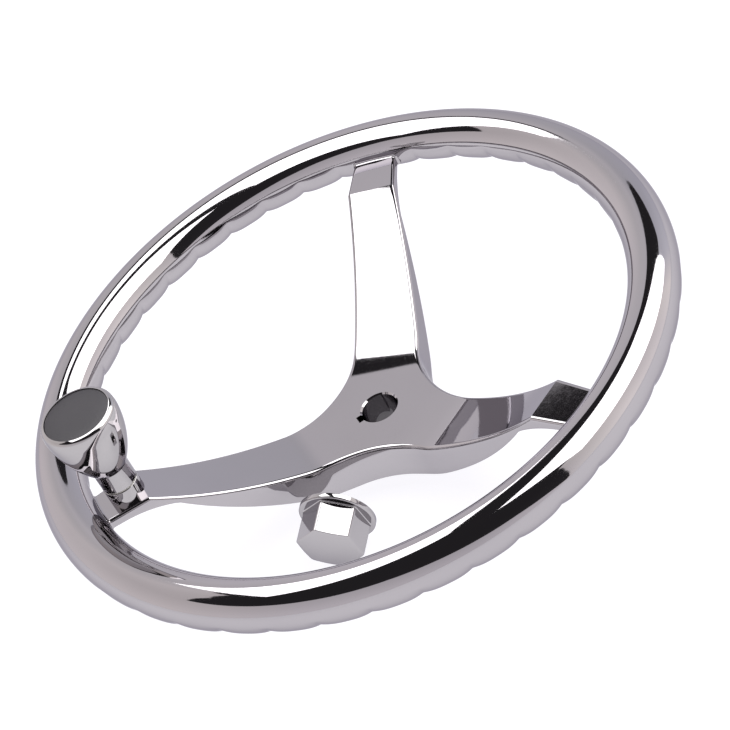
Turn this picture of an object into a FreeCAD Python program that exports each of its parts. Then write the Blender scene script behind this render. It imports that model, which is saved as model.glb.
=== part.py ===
# Dished three-spoke steering wheel of a boat, all polished stainless steel.
# The rim is a tube with finger grips pressed into its underside. One casting makes the hub and the
# spokes, and its ends are welded to the rim. A knob with a black inlay spins on one spoke. The cap
# nut that holds the hub on the shaft lies beside the hub, taken off.
# Millimetres. +Z points along the shaft to the helmsman. The origin is the centre of the bore's
# mouth on the back of the hub. Spokes stand at 90, 210 and 330 degrees, the knob on the second.
import FreeCAD, Part
import math
import os

from FreeCAD import Placement, Rotation, Vector

# Rim
rim_diameter = 342.9            # 13.5 in over the outside
tube_diameter = 26.0
grip_count = 42                 # finger grips all the way round
groove_depth = 1.8              # how far the groove between two grips goes in
groove_start = 5.0              # degrees below the outward side where a groove begins
groove_sweep = 200.0            # degrees that a groove wraps under and up the inner side
grip_roundness = 3.0            # higher makes rounder grips with narrower grooves

# Hub
hub_length = 29.0
dish_depth = 40.0               # from the rim's centre plane back to the hub's front face
hub_plate_thickness = 21.0
boss_diameter = 40.0
boss_fillet = 2.5               # where the boss meets the plate
bore_diameter = 19.05           # 3/4 in shaft
bore_chamfer = 0.8
keyway_width = 4.76             # 3/16 in key
keyway_height = 12.7            # from the bore's axis to the keyway's floor
hub_corner_radius = 55.0        # in plan, between two spokes

# Spokes
spoke_angles = (90.0, 210.0, 330.0)
knob_spoke = spoke_angles[1]
spoke_root_half_width = 20.6    # the straight sides, drawn back to the shaft's axis
spoke_tip_half_width = 11.7     # where the sides meet the rim tube's inner side
bow_start = 24.0                # from the axis to where the front face leaves the flat hub
bow_radius = 195.0              # it bows up gently first
bow_turn = 5.0                  # degrees of slope at the bow's end, where the sharper bend starts
bend_radius = 40.0
bend_turn = 18.0                # degrees of slope at the bend's end
land_length = 23.75             # the flat land, from the crease to the rim tube
land_rise = 0.5                 # the land's face above the rim's centre plane
land_thickness = 5.2
back_bend_start = 27.4
back_bend_radius = 53.4
back_bend_turn = 25.0           # degrees
neck_run = 11.3                 # from the spoke's thinnest place out to the crease
neck_thickness = 4.0            # measured upright
back_land_run = 16.3            # from the crease out to where the land's back is flat
edge_round = 1.8                # along the edges of the front face

# Knob, with heights above the land that it stands on
knob_run = 7.8                  # from the crease out to the knob's axis
knob_height = 58.0
collar_diameter = 18.7
collar_height = 9.0
seam_width = 0.9                # the slit between the collar and the neck
spindle_diameter = 12.0
running_clearance = 0.05        # between the spindle and the bushes, on the radius
neck_top = 21.4
head_start = 22.2               # the head's lower edge
head_lower_radius = 10.2
flank_radius = 15.9             # the head's radius half way up its flank
flank_height = 33.5
head_diameter = 39.8
head_widest = 51.0              # height of the widest place
lip_round = 2.2
lip_inset = 0.3                 # from the widest place in to the lip's lower edge
inlay_diameter = 34.4
inlay_thickness = 2.0
inlay_recess = 0.5              # how far the inlay lies below the lip
pocket_diameter = 24.0
pocket_floor = 44.0
bush_outer_diameter = 15.2
bush_length = 11.0
bush_flange_thickness = 0.8
bush_flange_diameter = 17.6
end_play = 0.3                  # between the stop washer and the pocket's floor

# Screws of the knob
clamp_screw_diameter = 8.0
clamp_screw_length = 16.0
clamp_head_diameter = 14.0
clamp_head_height = 4.0
clamp_head_edge = 1.6           # the head's upright edge, below its crown
clamp_socket = 5.0              # across the flats of its hexagon socket
clamp_hole_diameter = 8.5
spot_face_diameter = 16.0
spot_face_depth = 5.6           # below the land's face
stop_screw_diameter = 6.0
stop_screw_length = 12.0
stop_head_diameter = 10.5
stop_head_height = 3.3
stop_head_edge = 1.3
stop_socket = 4.0
stop_washer_diameter = 19.0
stop_washer_thickness = 1.6
washer_clearance = 0.2          # round the stop screw, on the radius
spare_thread = 1.0              # a tapped hole runs on past its screw
head_top_share = 0.7            # a screw head's flat top, of its diameter

# Hub nut, with heights from the face of its flange
nut_flange_diameter = 39.0
nut_flange_thickness = 3.0
nut_flange_chamfer = 1.0
nut_across_flats = 30.0
nut_edge_round = 2.0            # along the hexagon's six corners
nut_hex_top = 20.1              # where the corners end
nut_crown = 2.0                 # how far the closed end domes up above the corners
nut_thread_diameter = 14.6      # core of a 5/8 in thread
nut_thread_depth = 18.0
nut_place = (-20.3, -58.9)      # the middle of the flange's face, in plan
nut_heading = 260.3             # the way the closed end points, in plan
nut_roll = 26.7                 # degrees about its own axis, from lying on a flat

overrun = 1.0                   # how far a joined or cutting solid runs past the face that it meets

# Worked out from the sizes above
tube_radius = tube_diameter / 2
ring_radius = rim_diameter / 2 - tube_radius
rim_height = hub_length + dish_depth
land_height = rim_height + land_rise
land_back = land_height - land_thickness
plate_back = hub_length - hub_plate_thickness
grip_pitch = 360.0 / grip_count
inner_side = ring_radius - tube_radius          # the tube's inner side
spoke_reach = inner_side + tube_radius / 2      # the spoke's end before the tube trims it
crease_radius = inner_side - land_length
neck_radius = crease_radius - neck_run
back_land_start = crease_radius + back_land_run
knob_radius = crease_radius + knob_run
spindle_top = pocket_floor + end_play
UP = Vector(0, 0, 1)


def around(radius, degrees, height=0.0):
    """A point at this radius and angle from the shaft's axis."""
    angle = math.radians(degrees)
    return Vector(radius * math.cos(angle), radius * math.sin(angle), height)


def turned(shape, degrees):
    """A copy turned about the shaft's axis."""
    copy = shape.copy()
    copy.rotate(Vector(), UP, degrees)
    return copy


def upright(point):
    """A point of an outline, given as its distance from the axis and its height."""
    return Vector(point[0], 0, point[1])


def outline(start, *steps):
    """A closed upright face. A step is a point, or a pair of points that an arc runs through."""
    edges = []
    here = start
    for step in steps + (start,):
        if isinstance(step[0], tuple):
            via, there = step
            edges.append(Part.Arc(upright(here), upright(via), upright(there)).toShape())
        else:
            there = step
            edges.append(Part.makeLine(upright(here), upright(there)))
        here = there
    return Part.Face(Part.Wire(edges))


def turning(start, *steps):
    """A solid turned from an outline about the vertical axis."""
    return outline(start, *steps).revolve(Vector(), UP, 360)


def arc_to(start, heading, end):
    """The arc that leaves start at this slope and runs to end, as a step of an outline."""
    across = end[0] - start[0]
    rise = end[1] - start[1]
    chord = math.hypot(across, rise)
    slope = math.atan2(rise, across)
    sag = chord / 2 * math.tan((slope - math.radians(heading)) / 2)
    via = ((start[0] + end[0]) / 2 + sag * math.sin(slope), (start[1] + end[1]) / 2 - sag * math.cos(slope))
    return via, end


def hexagon(across_flats, height):
    corner = across_flats / math.sqrt(3)
    corners = [around(corner, 60 * number) for number in range(7)]
    return Part.Face(Part.makePolygon(corners)).extrude(UP * height)


def at_knob(shape, height=0.0):
    """Moves a piece from the origin to the knob's axis, at this height above the land."""
    shape.translate(around(knob_radius, knob_spoke, land_height + height))
    return shape


# Rim

def tube_point(tube_angle, ring_angle, sink=0.0):
    """A point on the tube: tube_angle is 0 outwards, 90 straight down and 180 inwards."""
    angle = math.radians(tube_angle)
    reach = tube_radius - sink
    return around(ring_radius + reach * math.cos(angle), ring_angle, rim_height - reach * math.sin(angle))


def tube_section(ring_angle, sink):
    """The tube's outline here: a plain arc over the top and one that sinks in under it."""
    groove_end = groove_start + groove_sweep
    under = (groove_start + groove_end) / 2
    grip = Part.Arc(
        tube_point(groove_start, ring_angle),
        tube_point(under, ring_angle, sink),
        tube_point(groove_end, ring_angle))
    plain = Part.Arc(
        tube_point(groove_end, ring_angle),
        tube_point(under + 180, ring_angle),
        tube_point(groove_start, ring_angle))
    return Part.Wire([grip.toShape(), plain.toShape()])


def rim():
    """The loft runs straight from the groove before a grip to its two shoulders and the next groove."""
    sections = []
    for number in range(grip_count):
        crown = spoke_angles[0] + (number + 0.5) * grip_pitch
        for across in (-1.0, -0.5, 0.5):
            sink = groove_depth * abs(across) ** grip_roundness
            sections.append(tube_section(crown + across * grip_pitch / 2, sink))
    return Part.makeLoft(sections, True, True, True)


# Hub and spokes

def front_height(distance):
    """The height of a spoke's front face on its way from the bend to the crease."""
    bend_end = front_bend()[1][1]
    across = crease_radius - bend_end[0]
    rise = land_height - bend_end[1]
    slope = math.atan2(rise, across)
    start = math.radians(bend_turn)
    radius = math.hypot(across, rise) / (2 * math.sin(slope - start))
    centre = (bend_end[0] - radius * math.sin(start), bend_end[1] + radius * math.cos(start))
    return centre[1] - math.sqrt(radius ** 2 - (distance - centre[0]) ** 2)


def bend(start, radius, turn, slope=0.0):
    """An arc that leaves start at this slope and bends up to turn, as a step of an outline."""
    steps = []
    leaving = math.radians(slope)
    for angle in (math.radians((slope + turn) / 2), math.radians(turn)):
        steps.append((
            start[0] + radius * (math.sin(angle) - math.sin(leaving)),
            start[1] + radius * (math.cos(leaving) - math.cos(angle))))
    return steps[0], steps[1]


def front_bend():
    """The gentle bow out of the flat hub and the sharper bend after it."""
    bow = bend((bow_start, hub_length), bow_radius, bow_turn)
    return bow, bend(bow[1], bend_radius, bend_turn, bow_turn)


def spoke_side():
    """A spoke's outline from the side, from the shaft's axis to inside the rim tube."""
    back_bend = bend((back_bend_start, plate_back), back_bend_radius, back_bend_turn)
    neck = (neck_radius, front_height(neck_radius) - neck_thickness)
    back_land = (back_land_start, land_back)
    rising = arc_to(back_land, 180, neck)
    bow, front_turn = front_bend()
    front = arc_to(front_turn[1], bend_turn, (crease_radius, land_height))
    return outline(
        (0.0, plate_back), (back_bend_start, plate_back),
        back_bend, arc_to(back_bend[1], back_bend_turn, neck),
        (rising[0], back_land), (spoke_reach, land_back),
        (spoke_reach, land_height), (crease_radius, land_height),
        (front[0], front_turn[1]), (front_turn[0], bow[1]), (bow[0], (bow_start, hub_length)),
        (0.0, hub_length))


def plan():
    """The hub and the spokes seen from the front."""
    taper = (spoke_root_half_width - spoke_tip_half_width) / inner_side
    slant = math.hypot(1, taper)
    half_gap = math.radians(60)
    centre = (hub_corner_radius * slant + spoke_root_half_width) / (math.sin(half_gap) + taper * math.cos(half_gap))
    leaving = (centre * math.cos(half_gap) - hub_corner_radius * taper / slant)
    edges = []
    for angle in spoke_angles:
        corners = []
        for distance, side in ((leaving, -1), (spoke_reach, -1), (spoke_reach, 1), (leaving, 1)):
            half_width = spoke_root_half_width - taper * distance
            corners.append(turned(Part.Vertex(distance, side * half_width, 0), angle).Point)
        edges += Part.makePolygon(corners).Edges
        waist = around(centre - hub_corner_radius, angle + 60)
        following = turned(Part.Vertex(corners[0]), 120).Point
        edges.append(Part.Arc(corners[3], waist, following).toShape())
    return Part.Face(Part.Wire(edges))


def front_edges(shape):
    """The edges where the walls of the hub and the spokes meet the front face."""
    edges = []
    for wall in shape.Faces:
        middle = wall.CenterOfMass
        normal = wall.normalAt(*wall.Surface.parameter(middle))
        at_end = math.hypot(middle.x, middle.y) > inner_side
        if abs(normal.z) > 0.01 or at_end:
            continue
        for edge in wall.Edges:
            spot = edge.valueAt((edge.FirstParameter + edge.LastParameter) / 2)
            if not shape.isInside(spot - normal + UP, 0.01, False):
                edges.append(edge)
    return edges


def spoke_casting():
    slab_width = 4 * spoke_root_half_width
    slab = spoke_side().extrude(Vector(0, slab_width, 0))
    slab.translate(Vector(0, -slab_width / 2, 0))
    slabs = [turned(slab, angle) for angle in spoke_angles]
    spider = plan().extrude(UP * land_height).common(slabs[0].fuse(slabs[1:])).removeSplitter()
    spider = spider.makeFillet(edge_round, front_edges(spider))
    boss_radius = boss_diameter / 2
    boss_corner = boss_fillet * (1 - math.sqrt(0.5))
    boss = turning(
        (0.0, 0.0), (boss_radius, 0.0), (boss_radius, plate_back - boss_fillet),
        ((boss_radius + boss_corner, plate_back - boss_corner), (boss_radius + boss_fillet, plate_back)),
        (boss_radius + boss_fillet, plate_back + overrun), (0.0, plate_back + overrun))
    bore_radius = bore_diameter / 2
    bore = turning(
        (0.0, -overrun), (bore_radius, -overrun), (bore_radius, hub_length - bore_chamfer),
        (bore_radius + bore_chamfer * 2, hub_length + bore_chamfer), (0.0, hub_length + bore_chamfer))
    keyway_length = hub_length + 2 * overrun
    keyway = Part.makeBox(keyway_height, keyway_width, keyway_length, Vector(0, -keyway_width / 2, -overrun))
    drill_start = -2 * spot_face_depth
    hole = at_knob(Part.makeCylinder(clamp_hole_diameter / 2, -drill_start + overrun), drill_start)
    spot_face = at_knob(Part.makeCylinder(spot_face_diameter / 2, spot_face_depth), drill_start)
    casting = spider.fuse(boss).removeSplitter()
    return casting.cut([bore, turned(keyway, knob_spoke), hole, spot_face, rim()])


# Knob

def knob_spindle():
    """The collar under the knob and the shaft that the knob turns on, tapped at both ends."""
    collar = Part.makeCylinder(collar_diameter / 2, collar_height)
    shaft = Part.makeCylinder(spindle_diameter / 2, spindle_top)
    clamp_depth = clamp_screw_length - spot_face_depth + spare_thread
    clamp_hole = Part.makeCylinder(clamp_screw_diameter / 2, clamp_depth)
    stop_depth = stop_screw_length - stop_washer_thickness + spare_thread
    stop_hole = Part.makeCylinder(stop_screw_diameter / 2, stop_depth, Vector(0, 0, spindle_top - stop_depth))
    return at_knob(collar.fuse(shaft).cut([clamp_hole, stop_hole]))


def knob_lower_bush():
    """It stands on its flange, which takes the thrust between the collar and the neck."""
    inner = spindle_diameter / 2 + running_clearance
    outer = bush_outer_diameter / 2
    flange = bush_flange_diameter / 2
    top = bush_flange_thickness + bush_length
    bush = turning(
        (inner, 0.0), (flange, 0.0), (flange, bush_flange_thickness),
        (outer, bush_flange_thickness), (outer, top), (inner, top))
    return at_knob(bush, collar_height + seam_width - bush_flange_thickness)


def knob_upper_bush():
    bush = Part.makeCylinder(bush_outer_diameter / 2, bush_length)
    bush = bush.cut(Part.makeCylinder(spindle_diameter / 2 + running_clearance, bush_length))
    return at_knob(bush, pocket_floor - bush_length)


def knob_body():
    """One turned piece: the neck, the flared head, the bore for the bushes and the pocket on top."""
    neck = collar_diameter / 2
    neck_bottom = collar_height + seam_width
    widest = head_diameter / 2
    lip_inside = inlay_diameter / 2
    lip_start = knob_height - lip_round
    corner = lip_round * math.sqrt(0.5)
    inlay_floor = knob_height - inlay_recess - inlay_thickness
    bore = bush_outer_diameter / 2
    pocket = pocket_diameter / 2
    return at_knob(turning(
        (bore, neck_bottom), (neck, neck_bottom), (neck, neck_top),
        (head_lower_radius, head_start),
        ((flank_radius, flank_height), (widest, head_widest)),
        (widest - lip_inset, lip_start),
        ((lip_inside + corner, lip_start + corner), (lip_inside, knob_height)),
        (lip_inside, inlay_floor), (pocket, inlay_floor), (pocket, pocket_floor), (bore, pocket_floor)))


def knob_inlay():
    return at_knob(
        Part.makeCylinder(inlay_diameter / 2, inlay_thickness),
        knob_height - inlay_recess - inlay_thickness)


def stop_washer():
    washer = Part.makeCylinder(stop_washer_diameter / 2, stop_washer_thickness)
    washer = washer.cut(Part.makeCylinder(stop_screw_diameter / 2 + washer_clearance, stop_washer_thickness))
    return at_knob(washer, spindle_top)


def button_screw(diameter, length, head_diameter, head_height, head_edge, socket):
    """A screw that hangs down from the origin, with a low crowned head and a hexagon socket."""
    head = head_diameter / 2
    screw = turning(
        (0.0, -length), (diameter / 2, -length), (diameter / 2, 0.0), (head, 0.0),
        (head, head_edge), (head * head_top_share, head_height), (0.0, head_height))
    key = hexagon(socket, head_height)
    key.translate(UP * head_edge)
    return screw.cut(key)


def stop_screw():
    screw = button_screw(
        stop_screw_diameter, stop_screw_length, stop_head_diameter,
        stop_head_height, stop_head_edge, stop_socket)
    return at_knob(screw, spindle_top + stop_washer_thickness)


def spindle_screw():
    screw = button_screw(
        clamp_screw_diameter, clamp_screw_length, clamp_head_diameter,
        clamp_head_height, clamp_head_edge, clamp_socket)
    screw.rotate(Vector(), Vector(1, 0, 0), 180)
    return at_knob(screw, -spot_face_depth)


# Hub nut

def hub_nut():
    """A flanged cap nut, lying on the floor on its flange's edge and one of its corners."""
    corner = nut_across_flats / math.sqrt(3)
    flat = nut_across_flats / 2
    flange = nut_flange_diameter / 2
    nut_height = nut_hex_top + nut_crown
    crown_sphere = (corner ** 2 + nut_crown ** 2) / (2 * nut_crown)
    halfway = corner / 2
    halfway_height = nut_height - crown_sphere + math.sqrt(crown_sphere ** 2 - halfway ** 2)
    crown = turning(
        (0.0, 0.0), (corner, 0.0), (corner, nut_hex_top),
        ((halfway, halfway_height), (0.0, nut_height)))
    prism = hexagon(nut_across_flats, nut_height)
    upright_edges = [edge for edge in prism.Edges if abs(edge.tangentAt(edge.FirstParameter).z) > 0.9]
    body = prism.makeFillet(nut_edge_round, upright_edges).common(crown)
    flange_edge = nut_flange_thickness - nut_flange_chamfer
    collar = turning(
        (0.0, 0.0), (flange, 0.0), (flange, flange_edge),
        (flange - nut_flange_chamfer, nut_flange_thickness), (0.0, nut_flange_thickness))
    thread = Part.makeCylinder(nut_thread_diameter / 2, nut_thread_depth)
    nut = body.fuse(collar).cut(thread)
    nut.rotate(Vector(), UP, -nut_roll)

    # It leans so that the flange's edge and its lowest corner both touch the floor.
    corner_centre = (flat - nut_edge_round) / math.cos(math.radians(30))
    lowest = corner_centre * math.cos(math.radians(30 - nut_roll)) + nut_edge_round
    lean = math.atan2(flange - lowest, nut_hex_top - flange_edge)
    heading = around(1, nut_heading)
    axis = heading * math.cos(lean) - UP * math.sin(lean)
    rise = heading * math.sin(lean) + UP * math.cos(lean)
    across = rise.cross(axis)
    height = flange_edge * math.sin(lean) + flange * math.cos(lean)
    base = Vector(nut_place[0], nut_place[1], height)
    nut.Placement = Placement(base, Rotation(across, rise, axis, "ZYX")).multiply(nut.Placement)
    return nut


NODES = {
    "rim": rim,
    "spoke_casting": spoke_casting,
    "knob_spindle": knob_spindle,
    "spindle_screw": spindle_screw,
    "knob_lower_bush": knob_lower_bush,
    "knob_upper_bush": knob_upper_bush,
    "knob_body": knob_body,
    "stop_washer": stop_washer,
    "stop_screw": stop_screw,
    "knob_inlay": knob_inlay,
    "hub_nut": hub_nut,
}

os.makedirs("parts", exist_ok=True)
for name, make in NODES.items():
    shape = make()
    print(name, shape.isValid(), shape.ShapeType, round(shape.Volume), len(shape.Faces))
    shape.exportStep("parts/" + name + ".step")
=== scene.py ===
import math

import bmesh
import bpy
from mathutils import Matrix, Vector


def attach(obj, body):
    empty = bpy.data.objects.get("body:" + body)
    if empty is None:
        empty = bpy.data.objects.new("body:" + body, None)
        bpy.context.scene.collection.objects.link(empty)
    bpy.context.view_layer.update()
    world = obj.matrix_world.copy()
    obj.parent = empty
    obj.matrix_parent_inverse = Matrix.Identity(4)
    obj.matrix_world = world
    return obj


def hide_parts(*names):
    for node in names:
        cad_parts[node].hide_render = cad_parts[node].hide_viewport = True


# Dished three-spoke steering wheel of a boat, polished stainless steel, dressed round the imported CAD.
# Sizes are in millimetres and angles in degrees, as in the part's source, and become metres in the meshes.
# Each piece is a smooth mesh made from the sizes of the solid that it replaces. Three of them differ a
# little from the source, to follow the photo: GROOVE_DEPTH, GROOVE_SWEEP and BOW_START. The welds' swelling
# and the smallest radii are only here.

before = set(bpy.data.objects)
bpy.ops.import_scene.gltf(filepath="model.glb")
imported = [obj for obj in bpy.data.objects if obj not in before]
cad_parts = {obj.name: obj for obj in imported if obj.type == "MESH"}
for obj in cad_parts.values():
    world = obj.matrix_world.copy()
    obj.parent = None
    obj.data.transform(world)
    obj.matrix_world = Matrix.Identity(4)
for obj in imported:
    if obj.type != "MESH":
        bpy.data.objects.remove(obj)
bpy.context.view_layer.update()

MM = 0.001
JOIN_DISTANCE = 0.002       # points nearer to each other than this become one
LEVEL_TOLERANCE = 0.01      # a point this near to a height lies at it
SHARP = 32.0                # an edge stays crisp where the surface turns by more than this
CASTING_SHARP = 30.0
ALL_SMOOTH = 180.0          # no edge turns by more than this

# Rim
RING_RADIUS = 158.45
TUBE_RADIUS = 13.0
RIM_HEIGHT = 69.0
GRIP_COUNT = 42
GROOVE_DEPTH = 1.75
GROOVE_START = 5.0
GROOVE_SWEEP = 186.0
GROOVE_FULLNESS = 0.7       # below 1 keeps the groove deep nearer to its ends
GRIP_ROUNDNESS = 3.0
GROOVE_SOFTNESS = 0.05      # the part of half a grip over which the groove's bottom is rounded
STEPS_PER_GRIP = 24
STEP_CROWDING = 1.5         # above 1 puts the steps closer together near the grooves
TUBE_STEPS = 90

# Hub and spokes
HUB_LENGTH = 29.0
PLATE_BACK = 8.0
BOSS_RADIUS = 20.0
BOSS_FILLET = 2.5
BORE_RADIUS = 9.525
BORE_CHAMFER = 0.8
KEYWAY_HALF_WIDTH = 2.38
KEYWAY_HEIGHT = 12.7
HUB_CORNER_RADIUS = 55.0
SPOKE_ANGLES = (90.0, 210.0, 330.0)
KNOB_SPOKE = 210.0
GAP_ANGLE = 60.0            # from a spoke's middle line to the middle of the gap beside it
ROOT_HALF_WIDTH = 20.6
TIP_HALF_WIDTH = 11.7
INNER_SIDE = RING_RADIUS - TUBE_RADIUS
BOW_START = 22.8
BOW_RADIUS = 195.0
BOW_TURN = 5.0
BEND_RADIUS = 40.0
BEND_TURN = 18.0
CREASE = 121.7
LAND_HEIGHT = 69.5
LAND_BACK = 64.3
BACK_BEND_START = 27.4
BACK_BEND_RADIUS = 53.4
BACK_BEND_TURN = 25.0
NECK = 110.4
NECK_THICKNESS = 4.0
BACK_LAND_START = 138.0
EDGE_ROUND = 1.8
BACK_EDGE_ROUND = 0.6
WELD_ROUND = 1.4
WELD_START = INNER_SIDE - WELD_ROUND
WELD_OVERLAP = 1.5          # a spoke's mesh ends this far inside the rim tube

# Rows and columns of a spoke's mesh
SUPPORT = 0.5               # a narrow strip of the flat face beside each rounded edge
FINE_ROWS = 1.0             # from row to row through the bends,
FINE_ROWS_PAST = 4.0        # and this far past them
WIDE_ROWS = 2.2             # from there to the crease
LAND_ROWS = 1.8             # and on the land
CREASE_SUPPORT = 0.25       # rows this far before and behind the crease keep it crisp
ROOM_BEFORE_CREASE = 1.5    # without other rows
ROOM_BEHIND_CREASE = 2.0
ROOM_BEFORE_WELD = 0.6
RING_ROWS_START = 140.0     # from here outwards the rows bend towards the ring's curve,
RING_ROWS_RUN = 4.0         # and after this distance they follow it
EDGE_STEPS = 8
BACK_EDGE_STEPS = 4
WALL_STEPS = 4
WELD_STEPS = 8
WAIST_STEPS = 16            # along the sides of the hub, between two spokes
FACE_COLUMNS = 14
HUB_STEPS = 96              # round the bore and the boss
BOSS_FILLET_STEPS = 8

# Knob, with heights above the land
KNOB_RADIUS = 129.5
KNOB_HEIGHT = 58.0
COLLAR_RADIUS = 9.35
COLLAR_HEIGHT = 9.0
SEAM = 0.9
NECK_TOP = 21.4
NECK_EASE = 0.2             # the neck is straight to this far below its top
NECK_LIP = (0.15, 0.1)      # and widens by the first size up to the second above its top
HEAD_START = 22.2
HEAD_LOWER_RADIUS = 10.2
FLANK = (15.9, 33.5)
HEAD_RADIUS = 19.9
HEAD_WIDEST = 51.0
SHOULDER_INSET = 0.02       # how far the head has narrowed
SHOULDER_HEIGHT = 53.6      # at this height
LIP_ROUND = 2.2
LIP_INSET = 0.3
INLAY_RADIUS = 17.2
INLAY_THICKNESS = 2.0
INLAY_RECESS = 0.5
INLAY_GAP = 0.1
INLAY_RING = 0.6            # a ring of points lies on the inlay's face at this share of its radius
POCKET_RADIUS = 12.0
POCKET_FLOOR = 44.0
BUSH_RADIUS = 7.6
SPINDLE_RADIUS = 6.0
SPINDLE_TOP = 44.3
KNOB_EDGE = 0.3
INLAY_EDGE = 0.3
KNOB_EDGE_STEPS = 4
INLAY_EDGE_STEPS = 5
FLANK_STEPS = 40
SHOULDER_STEPS = 6
LIP_STEPS = 12
KNOB_SIDES = 144
COLLAR_SIDES = 96

# Hub nut
NUT_FLANGE_RADIUS = 19.5
NUT_FLANGE_THICKNESS = 3.0
NUT_FLANGE_CHAMFER = 1.0
NUT_FLANGE_SIDE = NUT_FLANGE_THICKNESS - NUT_FLANGE_CHAMFER
NUT_UNDER_EDGE = 0.3        # the flange's lower edge starts this far in and ends this far up,
NUT_UNDER_MIDDLE = 0.1      # and its middle is this far in and up
NUT_FLAT = 15.0
NUT_EDGE_ROUND = 2.0
NUT_HEX_TOP = 20.1
NUT_CROWN = 2.0
NUT_END_EDGE = 0.35
NUT_END_TURN = 84.0         # the end's rounded edge stops here, where the crown's slope begins
NUT_NECK_FILLET = 0.6
NUT_THREAD_RADIUS = 7.3
NUT_THREAD_DEPTH = 18.0
NUT_THREAD_PITCH = 1.8
NUT_THREAD_HEIGHT = 0.7
NUT_HOLE_RING = 0.6         # a ring of points lies on the hole's floor at this share of its radius
NUT_PLACE = (-20.3, -58.9)
NUT_HEADING = 260.3
NUT_ROLL = 26.7
NUT_SUPPORT = 0.3           # a narrow strip of the flat face beside each rounded edge
NUT_CORNER_SUPPORT = 0.4    # the same in degrees, beside each rounded corner
HALF_FLAT = 30.0            # from the middle of one of the hexagon's sides to its corner
NUT_SIDE_STEPS = 12
NUT_CORNER_STEPS = 8
NUT_THREAD_ROWS = 72
NUT_CHAMFER_STEPS = 6
NUT_FILLET_STEPS = 5
NUT_END_STEPS = 4
NUT_CROWN_STEPS = 12

# Materials
STEEL_EDGE_TINT = (0.52, 0.51, 0.55)    # the share of each colour that steel reflects near grazing angles
NOISE_LOW = 0.3                         # most of a noise's values lie between these two
NOISE_HIGH = 0.7
MIX_FIRST = 6                           # places of the colour sockets of a Mix node
MIX_SECOND = 7
MIX_RESULT = 2

# Studio, in metres and degrees
FLOOR_SIZE = 40.0
FLOOR_CELLS = 8
FLOOR_ALBEDO = (0.20, 0.20, 0.20)
FLOOR_ALBEDO_DARK = (0.19, 0.19, 0.19)
FLOOR_GLOW = (0.89, 0.88, 0.92)     # the backdrop is lit from behind, so shadows on it stay faint
PAINTED_SHADE_GLOW_SHARE = 0.2                    # painted shade: the share of the glow that is left under the hub,
PAINTED_SHADE_RADIUS = 0.019           # this far round the shaft's axis
PAINTED_SHADE_EDGE = 0.001             # and with a soft edge of this width
CAMERA_AZIMUTH = 25.13
CAMERA_ELEVATION = 39.248
CAMERA_DISTANCE = 1390.57           # millimetres from the rim's centre
CAMERA_AIM = (4.08, -8.76)          # millimetres right of and above the rim's centre
CAMERA_ROLL = -28.982
CAMERA_LENS = 138.08                # millimetres, on a sensor of this width
CAMERA_SENSOR = 36.0
CAMERA_CLIP = (0.05, 100.0)
DARK_COLOUR = (0.035, 0.033, 0.036)
ROOM_EDGE_SOFTNESS = 0.4
WALL_FADE = (5.0, 40.0)             # the walls and the room grow darker between these elevations,
WALL_FADE_TO = (1.05, 0.84)         # from the first share of their tone to the second

# Azimuth and the pale walls' tone there, which changes evenly from one to the next
WALL_TONES = (
    (0.0, (1.31, 1.24, 1.22)), (28.0, (1.24, 1.18, 1.18)), (42.0, (1.34, 1.27, 1.23)),
    (54.0, (0.93, 0.93, 1.01)), (75.0, (0.75, 0.75, 0.83)), (98.0, (0.83, 0.82, 0.87)),
    (110.0, (1.01, 0.98, 1.02)), (125.0, (0.98, 0.95, 0.97)), (145.0, (1.13, 1.07, 1.07)),
    (170.0, (1.03, 0.97, 0.97)), (205.0, (0.97, 0.91, 0.91)), (245.0, (0.88, 0.84, 0.88)),
    (300.0, (0.78, 0.75, 0.79)), (325.0, (0.86, 0.82, 0.86)), (345.0, (1.13, 1.08, 1.06)),
    (360.0, (1.31, 1.24, 1.22)))

# Azimuth and the elevation up to which the pale walls reach there. Above them the room is dark.
WALL_TOPS = (
    (0.0, 50.0), (55.0, 44.0), (66.0, 28.0), (86.0, 29.5), (92.0, 33.5), (99.0, 38.5), (106.0, 41.5),
    (118.0, 41.9), (128.0, 46.0), (140.0, 53.0), (160.0, 58.0), (180.0, 54.0), (190.0, 46.0),
    (196.0, 40.0), (240.0, 42.0), (270.0, 39.0), (285.0, 34.0), (300.0, 27.0), (315.0, 20.0),
    (325.0, 10.0), (333.0, 0.0), (336.0, 30.0), (342.0, 50.0), (360.0, 50.0))

# Name, centre in metres, azimuth and elevation from what it lights, turn, width and height, radiance
SOFTBOXES = (
    ("left_softbox", (0.7762, 0.4998, 1.4593), (25.43, 34.17), -22.57, (1.7220, 1.4807), 3.4),
    ("right_softbox", (-0.2967, 0.2663, 0.7396), (-8.08, 59.34), 120.13, (0.4443, 0.8051), 3.4))


# Small tools

def around(radius, degrees, height=0.0):
    """The point at this radius, direction and height."""
    angle = math.radians(degrees)
    return Vector((radius * math.cos(angle), radius * math.sin(angle), height))


def arc(centre, radius, start, end, steps):
    """Points of an arc in an outline, both ends included."""
    points = []
    for step in range(steps + 1):
        angle = math.radians(start + (end - start) * step / steps)
        points.append((centre[0] + radius * math.cos(angle), centre[1] + radius * math.sin(angle)))
    return points


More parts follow.
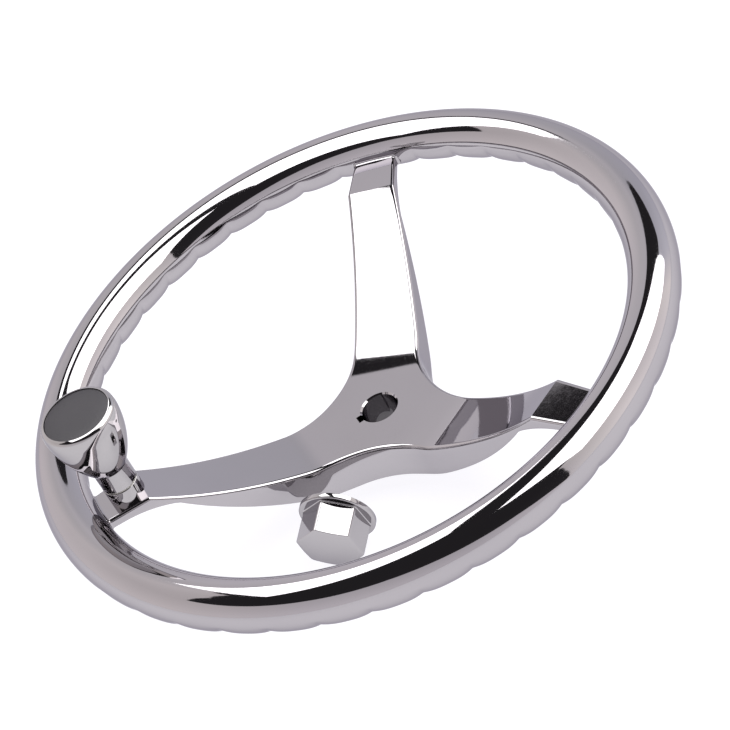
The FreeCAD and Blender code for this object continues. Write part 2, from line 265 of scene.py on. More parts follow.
def arc_through(start, via, end, steps):
    """Points of the arc from start through via to end, both ends included."""
    (ax, ay), (bx, by), (cx, cy) = start, via, end
    a_square, b_square, c_square = (x * x + y * y for x, y in (start, via, end))
    four_areas = 2 * (ax * (by - cy) + bx * (cy - ay) + cx * (ay - by))
    centre = (
        (a_square * (by - cy) + b_square * (cy - ay) + c_square * (ay - by)) / four_areas,
        (a_square * (cx - bx) + b_square * (ax - cx) + c_square * (bx - ax)) / four_areas)
    first, middle, last = (
        math.degrees(math.atan2(y - centre[1], x - centre[0])) for x, y in (start, via, end))
    turn = (last - first) % 360
    if (middle - first) % 360 > turn:
        turn -= 360
    return arc(centre, math.dist(centre, start), first, first + turn, steps)


class Surface:
    """Points in millimetres and faces of a mesh that is put together from rows of points."""

    def __init__(self):
        self.points = []
        self.faces = []

    def put(self, row, turn=0.0):
        """Adds a row of points, turned about the shaft's axis, and gives their numbers."""
        first = len(self.points)
        spin = Matrix.Rotation(math.radians(turn), 3, "Z")
        self.points.extend(spin @ Vector(point) for point in row)
        return range(first, len(self.points))

    def strip(self, first, second, closed=False):
        """Adds the faces between two rows. A closed strip also joins the ends of the rows."""
        count = len(first)
        for step in range(count if closed else count - 1):
            after = (step + 1) % count
            self.faces.append((first[step], second[step], second[after], first[after]))

    def strips(self, rows, closed=False):
        """Adds the faces from each row to the next."""
        for first, second in zip(rows, rows[1:]):
            self.strip(first, second, closed)


def write_smooth(bm, mesh, sharp):
    """Writes bm to its mesh, smooth except at the edges where it turns by more than sharp."""
    bmesh.ops.recalc_face_normals(bm, faces=bm.faces)
    limit = math.radians(sharp)
    for face in bm.faces:
        face.smooth = True
    for edge in bm.edges:
        edge.smooth = not (len(edge.link_faces) == 2 and edge.calc_face_angle() > limit)
    bm.to_mesh(mesh)
    bm.free()


def add_piece(name, surface, body, node, sharp=SHARP):
    """Makes the piece that takes the node's place."""
    mesh = bpy.data.meshes.new(name)
    mesh.from_pydata([tuple(size * MM for size in point) for point in surface.points], [], surface.faces)
    piece = bpy.data.objects.new(name, mesh)
    bpy.context.scene.collection.objects.link(piece)
    bm = bmesh.new()
    bm.from_mesh(mesh)
    bmesh.ops.remove_doubles(bm, verts=bm.verts, dist=JOIN_DISTANCE * MM)
    write_smooth(bm, mesh, sharp)
    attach(piece, body)
    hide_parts(node)
    return piece


# Rim

def groove(share):
    """How far the surface sinks, from 0 on a grip's crown to about 1 in a groove."""
    share = abs(share)
    past = max(0.0, share - (1 - GROOVE_SOFTNESS))
    bow = GRIP_ROUNDNESS / (2 * GROOVE_SOFTNESS)
    return share ** GRIP_ROUNDNESS - bow * past * past


def tube_section(number):
    """Points round the tube at one step along the ring."""
    pitch = 360.0 / GRIP_COUNT
    grip, step = divmod(number, STEPS_PER_GRIP)
    even = 2 * step / STEPS_PER_GRIP - 1
    share = math.copysign(1 - (1 - abs(even)) ** STEP_CROWDING, even)
    ring_angle = SPOKE_ANGLES[0] + (grip + 0.5 + share / 2) * pitch
    sink = GROOVE_DEPTH * groove(share)
    section = []
    for side in range(TUBE_STEPS):
        tube_angle = 360.0 * side / TUBE_STEPS
        along = (tube_angle - GROOVE_START) / GROOVE_SWEEP
        depth = sink * math.sin(math.pi * along) ** GROOVE_FULLNESS if 0 < along < 1 else 0.0
        reach = TUBE_RADIUS - depth
        angle = math.radians(tube_angle)
        section.append(around(
            RING_RADIUS + reach * math.cos(angle), ring_angle, RIM_HEIGHT - reach * math.sin(angle)))
    return section


def make_rim():
    """The tube, bent to a ring, with the finger grips in its underside."""
    surface = Surface()
    sections = [surface.put(tube_section(number)) for number in range(GRIP_COUNT * STEPS_PER_GRIP)]
    surface.strips([*sections, sections[0]], closed=True)
    return add_piece("grip_rim", surface, "wheel", "rim", ALL_SMOOTH)


# Hub and spokes
# Distances s run outwards from the shaft's axis along a spoke's middle line. In plan the hub's side is a
# round corner between two spokes. Its centre lies at CORNER_S along the spoke and CORNER_T across it, its
# nearest place to the axis at WAIST, and from LEAVING outwards the spoke's side is straight.

TAPER = (ROOT_HALF_WIDTH - TIP_HALF_WIDTH) / INNER_SIDE
SLANT = math.hypot(1, TAPER)
HALF_GAP = math.radians(GAP_ANGLE)
CORNER_CENTRE = (
    (HUB_CORNER_RADIUS * SLANT + ROOT_HALF_WIDTH) / (math.sin(HALF_GAP) + TAPER * math.cos(HALF_GAP)))
CORNER_S = CORNER_CENTRE * math.cos(HALF_GAP)
CORNER_T = CORNER_CENTRE * math.sin(HALF_GAP)
LEAVING = CORNER_S - HUB_CORNER_RADIUS * TAPER / SLANT
WAIST = (CORNER_CENTRE - HUB_CORNER_RADIUS) * math.cos(HALF_GAP)


def sloping(start, heading, end):
    """The height at a distance along the arc that leaves start at this slope and runs to end."""
    across, rise = end[0] - start[0], end[1] - start[1]
    lean = math.radians(heading)
    radius = math.hypot(across, rise) / (2 * math.sin(math.atan2(rise, across) - lean))
    centre = (start[0] - radius * math.sin(lean), start[1] + radius * math.cos(lean))
    sign = math.copysign(1.0, radius)
    return lambda s: centre[1] - sign * math.sqrt(max(0.0, radius ** 2 - (s - centre[0]) ** 2))


def bend_end(start, radius, turn, slope=0.0):
    """Where an arc ends that leaves start at this slope and bends up to turn."""
    angle, leaving = math.radians(turn), math.radians(slope)
    return (
        start[0] + radius * (math.sin(angle) - math.sin(leaving)),
        start[1] + radius * (math.cos(leaving) - math.cos(angle)))


def bent_height(s, start, radius, slope=0.0):
    """The height at a distance on such an arc."""
    leaving = math.radians(slope)
    across = s - start[0] + radius * math.sin(leaving)
    return start[1] + radius * math.cos(leaving) - math.sqrt(radius ** 2 - across ** 2)


BOW_BEGIN = (BOW_START, HUB_LENGTH)
BOW_END = bend_end(BOW_BEGIN, BOW_RADIUS, BOW_TURN)
FRONT_BEND_END = bend_end(BOW_END, BEND_RADIUS, BEND_TURN, BOW_TURN)
BACK_BEND_BEGIN = (BACK_BEND_START, PLATE_BACK)
BACK_BEND_END = bend_end(BACK_BEND_BEGIN, BACK_BEND_RADIUS, BACK_BEND_TURN)
front_rise = sloping(FRONT_BEND_END, BEND_TURN, (CREASE, LAND_HEIGHT))
NECK_BACK = front_rise(NECK) - NECK_THICKNESS
back_rise = sloping(BACK_BEND_END, BACK_BEND_TURN, (NECK, NECK_BACK))
NECK_RUN = BACK_LAND_START - NECK
NECK_RISE = LAND_BACK - NECK_BACK
NECK_CURVE = (NECK_RUN ** 2 + NECK_RISE ** 2) / (2 * NECK_RISE)


def front_height(s):
    """Flat hub, bow, bend, long slope and land of the front face."""
    if s <= BOW_START:
        return HUB_LENGTH
    if s < BOW_END[0]:
        return bent_height(s, BOW_BEGIN, BOW_RADIUS)
    if s < FRONT_BEND_END[0]:
        return bent_height(s, BOW_END, BEND_RADIUS, BOW_TURN)
    return front_rise(s) if s < CREASE else LAND_HEIGHT


def back_height(s):
    """Plate, bend, slope to the thin neck, curve and land of the back face."""
    if s <= BACK_BEND_START:
        return PLATE_BACK
    if s < BACK_BEND_END[0]:
        return bent_height(s, BACK_BEND_BEGIN, BACK_BEND_RADIUS)
    if s < NECK:
        return back_rise(s)
    if s < BACK_LAND_START:
        return LAND_BACK - NECK_CURVE + math.sqrt(NECK_CURVE ** 2 - (BACK_LAND_START - s) ** 2)
    return LAND_BACK


def stations():
    """Distances of the rows of a spoke's mesh, from the flat hub to inside the rim tube."""
    rows = []
    s = BOW_START
    while s < CREASE - ROOM_BEFORE_CREASE:
        rows.append(s)
        s += FINE_ROWS if s < FRONT_BEND_END[0] + FINE_ROWS_PAST else WIDE_ROWS
    rows += [CREASE - CREASE_SUPPORT, CREASE, CREASE + CREASE_SUPPORT]
    s = CREASE + ROOM_BEHIND_CREASE
    while s < WELD_START - ROOM_BEFORE_WELD:
        rows.append(s)
        s += LAND_ROWS
    for step in range(WELD_STEPS + 1):
        rows.append(INNER_SIDE - WELD_ROUND * (1 - math.sin(math.radians(90 * step / WELD_STEPS))))
    rows.append(INNER_SIDE + WELD_OVERLAP)
    return rows


def side_curve(s):
    """A spoke's side in plan at this distance: its half width and the way inwards, in degrees."""
    if s >= LEAVING:
        return ROOT_HALF_WIDTH - TAPER * s, -90.0
    half_width = CORNER_T - math.sqrt(HUB_CORNER_RADIUS ** 2 - (s - CORNER_S) ** 2)
    # The way inwards turns evenly from straight across the spoke to the waist's bisector.
    return half_width, -90.0 - (90.0 - GAP_ANGLE) * (LEAVING - s) / (LEAVING - WAIST)


def swelling(s):
    """How far the spoke's skin swells where it is welded to the rim tube."""
    past = min(max(0.0, s - WELD_START), WELD_ROUND)
    return WELD_ROUND - math.sqrt(WELD_ROUND ** 2 - past ** 2)


def ring_share(s):
    """How far the rows at this distance follow the ring's curve, from 0 to 1."""
    return max(0.0, min(1.0, (s - RING_ROWS_START) / RING_ROWS_RUN))


def side_profile(s, side):
    """One side of the spoke at a station, from the front face over the edge and down to the back face."""
    swell = swelling(s)
    bent = ring_share(s)
    half_width, heading = side_curve(s)
    inward = math.radians(heading)
    points = []

    def add(inset, face_height, outwards, rise):
        """Adds the point this far in from the side and above the face, whose skin swells at the weld."""
        here = s + math.cos(inward) * inset
        y = half_width + swell + math.sin(inward) * inset
        height = face_height(here) + outwards * swell + rise
        if bent:
            here -= bent * (here - math.sqrt(here ** 2 - y ** 2))
        points.append((here, side * y, height))

    add(EDGE_ROUND + SUPPORT, front_height, 1, 0.0)
    for step in range(EDGE_STEPS + 1):
        angle = math.radians(90 * step / EDGE_STEPS)
        add(EDGE_ROUND * (1 - math.sin(angle)), front_height, 1, -EDGE_ROUND * (1 - math.cos(angle)))
    edge_s, edge_y, top = points[-1]
    bottom = back_height(s) - swell + BACK_EDGE_ROUND
    for step in range(1, WALL_STEPS):
        points.append((edge_s, edge_y, top + (bottom - top) * step / WALL_STEPS))
    for step in range(BACK_EDGE_STEPS + 1):
        angle = math.radians(90 * step / BACK_EDGE_STEPS)
        add(BACK_EDGE_ROUND * (1 - math.cos(angle)), back_height, -1, BACK_EDGE_ROUND * (1 - math.sin(angle)))
    add(BACK_EDGE_ROUND + SUPPORT, back_height, -1, 0.0)
    return points


def face_row(first, last):
    """The points of a face between its two side points. Near the weld they lie on one ring with them."""
    s, y_first, height = first
    reach = math.hypot(s, y_first)
    row = []
    for step in range(FACE_COLUMNS + 1):
        y = y_first + (last[1] - y_first) * step / FACE_COLUMNS
        row.append((s + ring_share(s) * (math.sqrt(max(0.0, reach ** 2 - y ** 2)) - s), y, height))
    return row


def add_spoke(surface, angle):
    """A spoke's sides, front and back, its end inside the rim, and its share of the hub's sides."""
    before = None
    for s in stations():
        left, right = side_profile(s, 1), side_profile(s, -1)
        front, back = face_row(left[0], right[0]), face_row(left[-1], right[-1])
        rows = [surface.put(row, angle) for row in (left, right, front, back)]
        if before:
            for old, new in zip(before, rows):
                surface.strip(old, new)
        before = rows
    left, right, front, back = before
    surface.faces.append((*front, *right[1:], *back[-2::-1], *left[-2:0:-1]))
    for side in (1, -1):
        surface.strips([
            surface.put(side_profile(BOW_START + (WAIST - BOW_START) * step / WAIST_STEPS, side), angle)
            for step in range(WAIST_STEPS + 1)])


def bore_ring(radius, height):
    """A ring of the bore, with the keyway's two corners."""
    half = math.degrees(math.asin(KEYWAY_HALF_WIDTH / radius))
    ring = [
        around(radius, half + (360 - 2 * half) * step / HUB_STEPS, height)
        for step in range(HUB_STEPS + 1)]
    for y in (-KEYWAY_HALF_WIDTH, KEYWAY_HALF_WIDTH):
        ring.append(Vector((KEYWAY_HEIGHT, y, height)))
    return ring


def add_hub(surface):
    """The bore with its keyway and chamfers, and the boss behind the plate."""
    bore = [
        (BORE_RADIUS + BORE_CHAMFER / 2, 0.0), (BORE_RADIUS, BORE_CHAMFER / 2),
        (BORE_RADIUS, HUB_LENGTH - BORE_CHAMFER), (BORE_RADIUS + BORE_CHAMFER, HUB_LENGTH)]
    surface.strips([
        surface.put(bore_ring(radius, height), KNOB_SPOKE)
        for radius, height in bore], closed=True)
    boss = [(BOSS_RADIUS - BACK_EDGE_ROUND, 0.0), (BOSS_RADIUS, BACK_EDGE_ROUND)]
    fillet_centre = (BOSS_RADIUS + BOSS_FILLET, PLATE_BACK - BOSS_FILLET)
    boss += arc(fillet_centre, BOSS_FILLET, 180, 90, BOSS_FILLET_STEPS)
    surface.strips([
        surface.put([around(radius, 360 * step / HUB_STEPS, height) for step in range(HUB_STEPS)])
        for radius, height in boss], closed=True)


def close_hub(mesh):
    """Fills the hub's flat faces between the bore, the boss and the spokes' edges."""
    bm = bmesh.new()
    bm.from_mesh(mesh)
    for height in (0.0, PLATE_BACK, HUB_LENGTH):
        open_edges = [
            edge for edge in bm.edges
            if edge.is_boundary
            and all(abs(corner.co.z - height * MM) < LEVEL_TOLERANCE * MM for corner in edge.verts)]
        bmesh.ops.triangle_fill(bm, use_beauty=True, use_dissolve=False, edges=open_edges)
    write_smooth(bm, mesh, CASTING_SHARP)


def make_casting():
    """Hub, boss and three spokes in one piece."""
    surface = Surface()
    for angle in SPOKE_ANGLES:
        add_spoke(surface, angle)
    add_hub(surface)
    piece = add_piece("spoke_spider", surface, "wheel", "spoke_casting", CASTING_SHARP)
    close_hub(piece.data)
    return piece


# Knob

def turned_piece(name, outline, sides, body, node):
    """A piece turned about the knob's axis from a closed outline of (radius, height)."""
    place = around(KNOB_RADIUS, KNOB_SPOKE, LAND_HEIGHT)
    surface = Surface()
    columns = [
        surface.put([around(radius, 360.0 * side / sides, height) + place for radius, height in outline])
        for side in range(sides)]
    surface.strips([*columns, columns[0]], closed=True)
    return add_piece(name, surface, body, node)


def make_knob():
    """The knob's shell: neck, flared head and rounded lip outside, recess, pocket and bush seats inside."""
    bottom = COLLAR_HEIGHT + SEAM
    recess_floor = KNOB_HEIGHT - INLAY_RECESS - INLAY_THICKNESS
    lip = KNOB_HEIGHT - LIP_ROUND
    lip_corner = LIP_ROUND * math.sqrt(0.5)
    widest = (HEAD_RADIUS, HEAD_WIDEST)
    shoulder = (HEAD_RADIUS - SHOULDER_INSET, SHOULDER_HEIGHT)
    lip_start = (HEAD_RADIUS - LIP_INSET, lip)
    lip_middle = (INLAY_RADIUS + lip_corner, lip + lip_corner)
    lip_end = (INLAY_RADIUS, KNOB_HEIGHT)
    edge_centre = (COLLAR_RADIUS - KNOB_EDGE, bottom + KNOB_EDGE)
    outline = [(BUSH_RADIUS, bottom), (COLLAR_RADIUS - KNOB_EDGE, bottom)]
    outline += arc(edge_centre, KNOB_EDGE, -90, 0, KNOB_EDGE_STEPS)[1:]
    outline += [(COLLAR_RADIUS, NECK_TOP - NECK_EASE), (COLLAR_RADIUS + NECK_LIP[0], NECK_TOP + NECK_LIP[1])]
    outline += arc_through((HEAD_LOWER_RADIUS, HEAD_START), FLANK, widest, FLANK_STEPS)
    outline += arc_through(widest, shoulder, lip_start, SHOULDER_STEPS)[1:]
    outline += arc_through(lip_start, lip_middle, lip_end, LIP_STEPS)[1:]
    outline += [(INLAY_RADIUS, recess_floor), (POCKET_RADIUS, recess_floor)]
    outline += [(POCKET_RADIUS, POCKET_FLOOR), (BUSH_RADIUS, POCKET_FLOOR)]
    return turned_piece("knob_shell", outline, KNOB_SIDES, "knob", "knob_body")


def make_inlay():
    """The disc in the knob's top, a little smaller than its recess, with a rounded upper edge."""
    top = KNOB_HEIGHT - INLAY_RECESS
    edge = INLAY_RADIUS - INLAY_GAP
    outline = [(0.0, top - INLAY_THICKNESS), (edge, top - INLAY_THICKNESS), (edge, top - INLAY_EDGE)]
    outline += arc((edge - INLAY_EDGE, top - INLAY_EDGE), INLAY_EDGE, 0, 90, INLAY_EDGE_STEPS)[1:]
    outline += [(edge * INLAY_RING, top), (0.0, top)]
    return turned_piece("inlay_disc", outline, KNOB_SIDES, "knob", "knob_inlay")


def make_collar():
    """The collar that the knob turns on, with the shaft inside it."""
    edge_centre = (COLLAR_RADIUS - KNOB_EDGE, COLLAR_HEIGHT - KNOB_EDGE)
    outline = [(0.0, 0.0), (COLLAR_RADIUS, 0.0), (COLLAR_RADIUS, COLLAR_HEIGHT - KNOB_EDGE)]
    outline += arc(edge_centre, KNOB_EDGE, 0, 90, KNOB_EDGE_STEPS)[1:]
    outline += [(SPINDLE_RADIUS, COLLAR_HEIGHT), (SPINDLE_RADIUS, SPINDLE_TOP), (0.0, SPINDLE_TOP)]
    return turned_piece("collar_and_shaft", outline, COLLAR_SIDES, "wheel", "knob_spindle")


# Hub nut

NUT_CORNER = NUT_FLAT * 2 / math.sqrt(3)
NUT_CORNER_CENTRE = (NUT_FLAT - NUT_EDGE_ROUND) / math.cos(math.radians(HALF_FLAT))
NUT_SPHERE = (NUT_CORNER ** 2 + NUT_CROWN ** 2) / (2 * NUT_CROWN)
NUT_TOP = NUT_HEX_TOP + NUT_CROWN


def nut_axes():
    """How the nut is turned, and where its mouth's centre is.

    It leans as in the part's source, so that its flange's edge and its lowest corner touch the floor.
    """
    lowest = NUT_CORNER_CENTRE * math.cos(math.radians(HALF_FLAT - NUT_ROLL)) + NUT_EDGE_ROUND
    lean = math.atan2(NUT_FLANGE_RADIUS - lowest, NUT_HEX_TOP - NUT_FLANGE_SIDE)
    heading = around(1, NUT_HEADING)
    up = Vector((0, 0, 1))
    axis = heading * math.cos(lean) - up * math.sin(lean)
    rise = heading * math.sin(lean) + up * math.cos(lean)
    height = NUT_FLANGE_SIDE * math.sin(lean) + NUT_FLANGE_RADIUS * math.cos(lean)
    turn = Matrix((rise.cross(axis), rise, axis)).transposed()
    return turn, Vector((*NUT_PLACE, height))


def hexagon_radius(turn, side_end):
    """The distance to the hexagon this many degrees from the middle of a side, flat up to side_end."""
    if turn <= side_end:
        return NUT_FLAT / math.cos(math.radians(turn))
    off = math.radians(HALF_FLAT - turn)
    return NUT_CORNER_CENTRE * math.cos(off) + math.sqrt(
        NUT_EDGE_ROUND ** 2 - (NUT_CORNER_CENTRE * math.sin(off)) ** 2)


def hexagon_columns():
    """Directions round the nut, with the distance to the hexagon's side or rounded corner in each."""
    half_side = (NUT_FLAT - NUT_EDGE_ROUND) * math.tan(math.radians(HALF_FLAT))
    side_end = math.degrees(math.atan2(half_side, NUT_FLAT))
    inner_end = side_end - NUT_CORNER_SUPPORT
    turns = [-side_end]
    turns += [-inner_end + 2 * inner_end * step / NUT_SIDE_STEPS for step in range(NUT_SIDE_STEPS + 1)]
    turns += [
        side_end + 2 * (HALF_FLAT - side_end) * step / NUT_CORNER_STEPS
        for step in range(NUT_CORNER_STEPS)]
    return [
        (HALF_FLAT + 2 * HALF_FLAT * side + turn, hexagon_radius(turn, side_end))
        for side in range(6) for turn in turns]


def crown(radius):
    """The height of the domed end at this distance from the nut's axis."""
    return NUT_TOP - NUT_SPHERE + math.sqrt(NUT_SPHERE ** 2 - radius ** 2)


def thread(degrees):
    """The thread's outline in this direction, from the hole's floor to its mouth."""
    outline = []
    for row in range(NUT_THREAD_ROWS + 1):
        height = NUT_THREAD_DEPTH * (1 - row / NUT_THREAD_ROWS)
        phase = (height / NUT_THREAD_PITCH + degrees / 360.0) % 1.0
        fade = min(1.0, height / NUT_THREAD_PITCH, (NUT_THREAD_DEPTH - height) / NUT_THREAD_PITCH)
        outline.append((NUT_THREAD_RADIUS + NUT_THREAD_HEIGHT * fade * (1 - abs(2 * phase - 1)), height))
    outline[-1] = (NUT_THREAD_RADIUS + NUT_THREAD_HEIGHT, 0.0)
    return outline


def nut_outline(degrees, side):
    """The nut's outline in this direction, where its side is this far from the axis."""
    rim = NUT_FLANGE_RADIUS
    neck = NUT_FLANGE_THICKNESS + NUT_NECK_FILLET
    end = crown(side) - NUT_END_EDGE
    outline = [(0.0, NUT_THREAD_DEPTH), (NUT_THREAD_RADIUS * NUT_HOLE_RING, NUT_THREAD_DEPTH)]
    outline += thread(degrees)
    outline += [(rim - NUT_UNDER_EDGE, 0.0), (rim - NUT_UNDER_MIDDLE, NUT_UNDER_MIDDLE)]
    outline += [(rim, NUT_UNDER_EDGE), (rim, NUT_FLANGE_SIDE)]
    chamfer_centre = (rim - NUT_FLANGE_CHAMFER, NUT_FLANGE_SIDE)
    outline += arc(chamfer_centre, NUT_FLANGE_CHAMFER, 0, 90, NUT_CHAMFER_STEPS)[1:]
    outline.append((side + NUT_NECK_FILLET + NUT_SUPPORT, NUT_FLANGE_THICKNESS))
    outline += arc((side + NUT_NECK_FILLET, neck), NUT_NECK_FILLET, 270, 180, NUT_FILLET_STEPS)
    outline += [(side, neck + NUT_SUPPORT), (side, end - NUT_SUPPORT)]
    outline += arc((side - NUT_END_EDGE, end), NUT_END_EDGE, 0, NUT_END_TURN, NUT_END_STEPS)
    for step in range(NUT_CROWN_STEPS + 1):
        radius = (side - NUT_END_EDGE - NUT_SUPPORT) * (1 - step / NUT_CROWN_STEPS)
        outline.append((radius, crown(radius)))
    return outline


def make_nut():
    """Columns round the axis run from the thread's floor over the flange and the flats to the domed end."""
    turn, base = nut_axes()
    surface = Surface()
    columns = [
        surface.put([
            turn @ around(radius, degrees - NUT_ROLL, height) + base
            for radius, height in nut_outline(degrees, side)])
        for degrees, side in hexagon_columns()]
    surface.strips([*columns, columns[0]])
    return add_piece("cap_nut", surface, "wheel", "hub_nut")


# Materials

def map_range(tree, value, start, end, low, high, kind="LINEAR"):
    """A value that goes from low to high while the given one goes from start to end."""
    node = tree.nodes.new("ShaderNodeMapRange")
    node.interpolation_type = kind
    for name, number in (("From Min", start), ("From Max", end), ("To Min", low), ("To Max", high)):
        node.inputs[name].default_value = number
    tree.links.new(value, node.inputs["Value"])
    return node.outputs["Result"]


def mix_colours(tree, factor, first, second):
    """A mix of two colours. The first one may also come from a node."""
    node = tree.nodes.new("ShaderNodeMix")
    node.data_type = "RGBA"
    if isinstance(first, tuple):
        node.inputs[MIX_FIRST].default_value = (*first, 1.0)
    else:
        tree.links.new(first, node.inputs[MIX_FIRST])
    node.inputs[MIX_SECOND].default_value = (*second, 1.0)
    tree.links.new(factor, node.inputs["Factor"])
    return node.outputs[MIX_RESULT]


class Shading:
    """A material's nodes. Its colour, roughness and bump vary with noise."""

    def __init__(self, name):
        self.material = bpy.data.materials.new(name)
        self.material.use_nodes = True
        self.tree = self.material.node_tree
        self.shader = self.tree.nodes["Principled BSDF"]
        self.place = self.tree.nodes.new("ShaderNodeTexCoord").outputs["Object"]

    def noise(self, scale, detail):
        """Noise of this scale in the object's own space, in metres."""
        node = self.tree.nodes.new("ShaderNodeTexNoise")
        node.inputs["Scale"].default_value = scale
        node.inputs["Detail"].default_value = detail
        self.tree.links.new(self.place, node.inputs["Vector"])
        return node.outputs["Fac"]

    def from_origin(self):
        """The distance from the object's origin."""
        node = self.tree.nodes.new("ShaderNodeVectorMath")
        node.operation = "LENGTH"
        self.tree.links.new(self.place, node.inputs[0])
        return node.outputs["Value"]

    def link(self, value, socket):
        self.tree.links.new(value, self.shader.inputs[socket])

    def tint(self, noise, first, second):
        """The base colour goes from the first to the second with the noise."""
        share = map_range(self.tree, noise, NOISE_LOW, NOISE_HIGH, 0.0, 1.0)
        self.link(mix_colours(self.tree, share, first, second), "Base Color")

    def roughen(self, noise, smooth, worn):
        """The roughness goes from smooth to worn with the noise."""
        self.link(map_range(self.tree, noise, NOISE_LOW, NOISE_HIGH, smooth, worn), "Roughness")

    def bump(self, noise, strength, distance):
        node = self.tree.nodes.new("ShaderNodeBump")
        node.inputs["Strength"].default_value = strength
        node.inputs["Distance"].default_value = distance
        self.tree.links.new(noise, node.inputs["Height"])
        self.link(node.outputs["Normal"], "Normal")


def steel(name, light, dark, smooth, worn, ripple):
    """Polished stainless steel: faint clouds of tint, roughness from fine marks, and a slight ripple."""
    shading = Shading(name)
    shading.shader.inputs["Metallic"].default_value = 1.0
    shading.shader.inputs["Specular Tint"].default_value = (*STEEL_EDGE_TINT, 1.0)
    shading.tint(shading.noise(scale=18.0, detail=2.0), dark, light)
    shading.roughen(shading.noise(scale=900.0, detail=6.0), smooth, worn)
    shading.bump(shading.noise(scale=120.0, detail=3.0), strength=ripple, distance=0.0002)
    return shading.material


def plastic(name, light, dark, smooth, worn, grain):
    """Plastic with faint clouds of tint and a grain that makes its roughness and its bump."""
    shading = Shading(name)
    marks = shading.noise(scale=grain, detail=5.0)
    shading.tint(shading.noise(scale=40.0, detail=3.0), dark, light)
    shading.roughen(marks, smooth, worn)
    shading.bump(marks, strength=0.05, distance=0.0001)
    return shading.material


def paper(name):
    """The floor's paper. Its glow is dimmed under the hub as painted shade."""
    shading = Shading(name)
    grain = shading.noise(scale=400.0, detail=4.0)
    shading.tint(shading.noise(scale=3.0, detail=2.0), FLOOR_ALBEDO, FLOOR_ALBEDO_DARK)
    shading.roughen(grain, smooth=0.80, worn=0.90)
    shading.bump(grain, strength=0.05, distance=0.0001)
    shading.shader.inputs["Specular IOR Level"].default_value = 0.1
    shading.shader.inputs["Emission Color"].default_value = (*FLOOR_GLOW, 1.0)
    # Painted shade: the glow drops to a small share of itself in a disc under the hub.
    painted_shade_end = PAINTED_SHADE_RADIUS - PAINTED_SHADE_EDGE
    glow = map_range(shading.tree, shading.from_origin(), painted_shade_end, PAINTED_SHADE_RADIUS, PAINTED_SHADE_GLOW_SHARE, 1.0)
    shading.link(glow, "Emission Strength")
    return shading.material


def wear(piece, material):
    piece.data.materials.clear()
    piece.data.materials.append(material)


# Studio

def make_floor():
    """The floor at z = 0, which is also the backdrop."""
    mesh = bpy.data.meshes.new("studio_floor")
    bm = bmesh.new()
    bmesh.ops.create_grid(bm, x_segments=FLOOR_CELLS, y_segments=FLOOR_CELLS, size=FLOOR_SIZE / 2)
    bm.to_mesh(mesh)
    bm.free()
    floor = bpy.data.objects.new("studio_floor", mesh)
    bpy.context.scene.collection.objects.link(floor)
    wear(floor, paper("floor_paper"))


def make_camera():
    """The photo's camera, which looks at a place beside the rim's centre and is rolled."""
    azimuth, elevation = math.radians(CAMERA_AZIMUTH), math.radians(CAMERA_ELEVATION)
    level = math.cos(elevation)
    back = Vector((math.sin(azimuth) * level, -math.cos(azimuth) * level, math.sin(elevation)))
    right = Vector((math.cos(azimuth), math.sin(azimuth), 0.0))
    up = back.cross(right)
    centre = Vector((0.0, 0.0, RIM_HEIGHT))
    place = centre + back * CAMERA_DISTANCE
    aim = centre + (right * CAMERA_AIM[0] + up * CAMERA_AIM[1])
    data = bpy.data.cameras.new("camera")
    data.sensor_width = CAMERA_SENSOR
    data.lens = CAMERA_LENS
    data.clip_start, data.clip_end = CAMERA_CLIP
    camera = bpy.data.objects.new("camera", data)
    bpy.context.scene.collection.objects.link(camera)
    facing = (aim - place).to_track_quat("-Z", "Y").to_matrix()
    roll = Matrix.Rotation(math.radians(CAMERA_ROLL), 3, "Z")
    camera.matrix_world = Matrix.Translation(place * MM) @ (facing @ roll).to_4x4()
    bpy.context.scene.camera = camera


def make_softbox(name, centre, facing, turn, sizes, radiance):
    """A soft light at this place. It lies in the direction facing from what it lights, turned about that."""
    data = bpy.data.lights.new(name, "AREA")
    data.shape = "RECTANGLE"
    data.size, data.size_y = sizes
    data.energy = radiance * sizes[0] * sizes[1] * math.pi
    light = bpy.data.objects.new(name, data)
    light.visible_camera = False
    bpy.context.scene.collection.objects.link(light)
    azimuth, elevation = facing
    back = around(math.cos(math.radians(elevation)), azimuth, math.sin(math.radians(elevation)))
    level = around(1.0, azimuth + 90.0)
    axes = Matrix((level, back.cross(level), back)).transposed()
    axes = axes @ Matrix.Rotation(math.radians(turn), 3, "Z")
    light.matrix_world = Matrix.Translation(centre) @ axes.to_4x4()


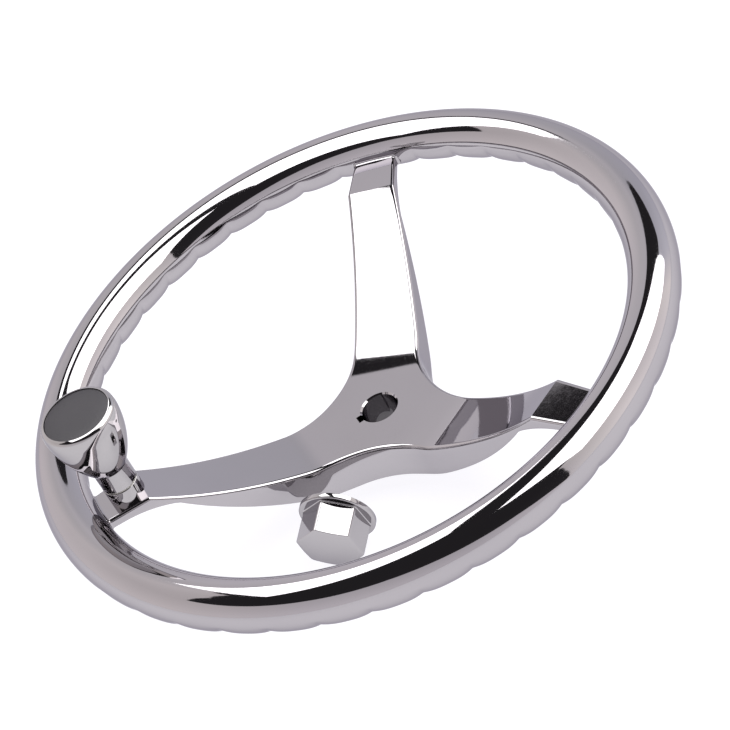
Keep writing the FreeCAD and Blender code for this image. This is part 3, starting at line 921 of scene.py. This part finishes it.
def make_world():
    """Pale walls all round, a little darker towards their tops, and a dark room above them."""
    world = bpy.data.worlds.new("studio")
    bpy.context.scene.world = world
    world.use_nodes = True
    tree = world.node_tree
    background = tree.nodes["Background"]
    direction = tree.nodes.new("ShaderNodeTexCoord").outputs["Generated"]
    parts = tree.nodes.new("ShaderNodeSeparateXYZ")
    tree.links.new(direction, parts.inputs["Vector"])

    def calculate(operation, *values):
        node = tree.nodes.new("ShaderNodeMath")
        node.operation = operation
        for socket, value in zip(node.inputs, values):
            if isinstance(value, float):
                socket.default_value = value
            else:
                tree.links.new(value, socket)
        return node.outputs["Value"]

    def elevation_share(degrees):
        """An elevation as the nodes have it, from 0 straight down to 1 straight up."""
        return (degrees + 90.0) / 180.0

    # Azimuths go from 0 to 1 for a whole turn.
    azimuth = calculate("DIVIDE", calculate("ARCTAN2", parts.outputs["Y"], parts.outputs["X"]), math.tau)
    azimuth = calculate("FRACT", calculate("ADD", azimuth, 1.0))
    elevation = calculate("MULTIPLY_ADD", calculate("ARCSINE", parts.outputs["Z"]), 1 / math.pi, 0.5)

    tops = tree.nodes.new("ShaderNodeFloatCurve")
    curve = tops.mapping.curves[0]
    while len(curve.points) < len(WALL_TOPS):
        curve.points.new(0.5, 0.5)
    for point, (angle, top) in zip(curve.points, WALL_TOPS):
        point.location = (angle / 360.0, elevation_share(top))
        point.handle_type = "VECTOR"
    tops.mapping.update()
    tree.links.new(azimuth, tops.inputs["Value"])

    tones = tree.nodes.new("ShaderNodeValToRGB")
    while len(tones.color_ramp.elements) < len(WALL_TONES):
        tones.color_ramp.elements.new(0.5)
    for element, (angle, tone) in zip(tones.color_ramp.elements, WALL_TONES):
        element.position = angle / 360.0
        element.color = (*tone, 1.0)
    tree.links.new(azimuth, tones.inputs["Fac"])

    above = calculate("SUBTRACT", elevation, tops.outputs["Value"])
    softness = ROOM_EDGE_SOFTNESS / 180.0
    edge = map_range(tree, above, -softness, softness, 0.0, 1.0, "SMOOTHSTEP")
    colour = mix_colours(tree, edge, tones.outputs["Color"], DARK_COLOUR)
    fade_start, fade_end = (elevation_share(degrees) for degrees in WALL_FADE)
    fade = map_range(tree, elevation, fade_start, fade_end, *WALL_FADE_TO)
    tree.links.new(colour, background.inputs["Color"])
    tree.links.new(fade, background.inputs["Strength"])


rim_steel = steel(
    "rim_polish", light=(0.457, 0.437, 0.453), dark=(0.437, 0.417, 0.435),
    smooth=0.03, worn=0.06, ripple=0.05)
spoke_steel = steel(
    "spoke_polish", light=(0.457, 0.438, 0.455), dark=(0.437, 0.418, 0.437),
    smooth=0.02, worn=0.05, ripple=0.03)
knob_steel = steel(
    "knob_polish", light=(0.465, 0.450, 0.455), dark=(0.440, 0.425, 0.430),
    smooth=0.03, worn=0.06, ripple=0.04)
nut_steel = steel(
    "nut_polish", light=(0.460, 0.445, 0.455), dark=(0.435, 0.420, 0.430),
    smooth=0.04, worn=0.08, ripple=0.05)
screw_steel = steel(
    "screw_steel", light=(0.50, 0.50, 0.51), dark=(0.42, 0.42, 0.43),
    smooth=0.20, worn=0.35, ripple=0.15)
bush_plastic = plastic(
    "bush_plastic", light=(0.75, 0.74, 0.69), dark=(0.68, 0.67, 0.62),
    smooth=0.45, worn=0.60, grain=800.0)
inlay_plastic = plastic(
    "inlay_plastic", light=(0.028, 0.025, 0.031), dark=(0.022, 0.020, 0.025),
    smooth=0.30, worn=0.42, grain=1500.0)

wear(make_rim(), rim_steel)
wear(make_casting(), spoke_steel)
wear(make_knob(), knob_steel)
wear(make_inlay(), inlay_plastic)
wear(make_collar(), knob_steel)
wear(make_nut(), nut_steel)
for node, material in (
        ("spindle_screw", screw_steel), ("stop_screw", screw_steel), ("stop_washer", screw_steel),
        ("knob_lower_bush", bush_plastic), ("knob_upper_bush", bush_plastic)):
    for material_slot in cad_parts[node].material_slots:
        material_slot.material = material

make_floor()
make_world()
for softbox in SOFTBOXES:
    make_softbox(*softbox)
make_camera()
bpy.context.scene.view_settings.view_transform = "Standard"
